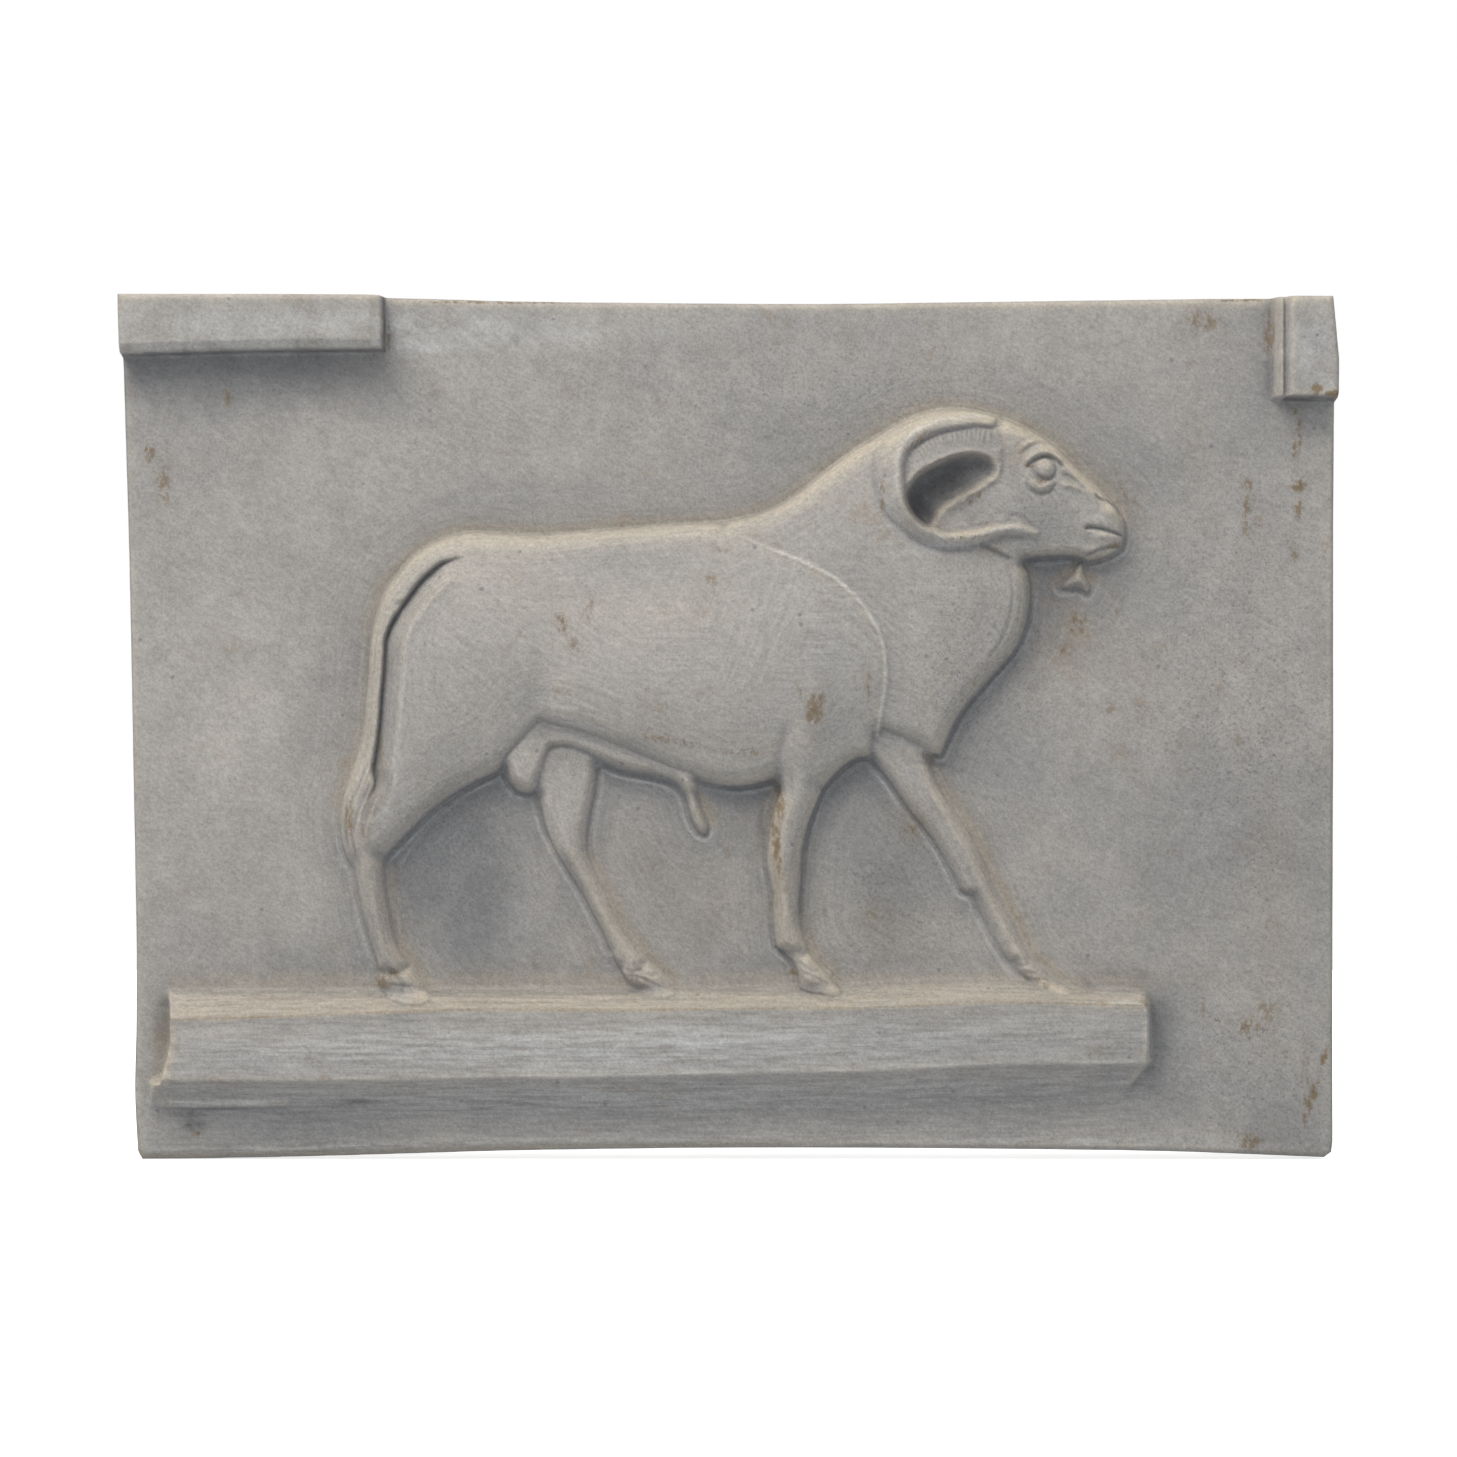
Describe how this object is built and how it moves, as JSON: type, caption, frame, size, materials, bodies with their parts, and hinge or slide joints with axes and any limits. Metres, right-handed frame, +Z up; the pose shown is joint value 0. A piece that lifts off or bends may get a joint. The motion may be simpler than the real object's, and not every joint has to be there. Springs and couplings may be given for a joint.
{
  "type": "plaster relief cast",
  "caption": "Rectangular plaster cast of a low relief: a ram striding along a ledge, with a raised block in each upper corner and a wire hanger in the back.",
  "frame": {"origin": "centre of the object's box, at the bottom of its lower edge", "axes": "+Z up the panel, +X to the right of someone facing the relief, +Y into the panel towards its back"},
  "size_m": [0.303, 0.0316, 0.2153],
  "materials": {
    "face_plaster": "matte aged plaster, brush streaks, cream on upper edges, grey in recesses, ochre stains",
    "backing_plaster": "matte rough plaster, trowelled",
    "jute": "coarse open jute scrim",
    "galvanised_wire": "dull galvanised"
  },
  "bodies": {
    "root": {"face_panel": "face_plaster", "ledge": "face_plaster", "upper_left_block": "face_plaster", "upper_right_block": "face_plaster", "ram_torso": "face_plaster", "ram_neck": "face_plaster", "ram_head": "face_plaster", "ram_horn": "face_plaster", "ram_ear": "face_plaster", "ram_eye": "face_plaster", "ram_beard": "face_plaster", "ram_tail": "face_plaster", "ram_scrotum": "face_plaster", "ram_sheath": "face_plaster", "ram_near_foreleg": "face_plaster", "ram_far_foreleg": "face_plaster", "ram_near_hind_leg": "face_plaster", "ram_far_hind_leg": "face_plaster", "ram_near_fore_hoof": "face_plaster", "ram_far_fore_hoof": "face_plaster", "ram_near_hind_hoof": "face_plaster", "ram_far_hind_hoof": "face_plaster", "backing_coat": "backing_plaster", "hanger_dab_left": "backing_plaster", "hanger_dab_right": "backing_plaster", "jute_scrim": "jute", "hanger_wire": "galvanised_wire"}
  },
  "joints": []
}
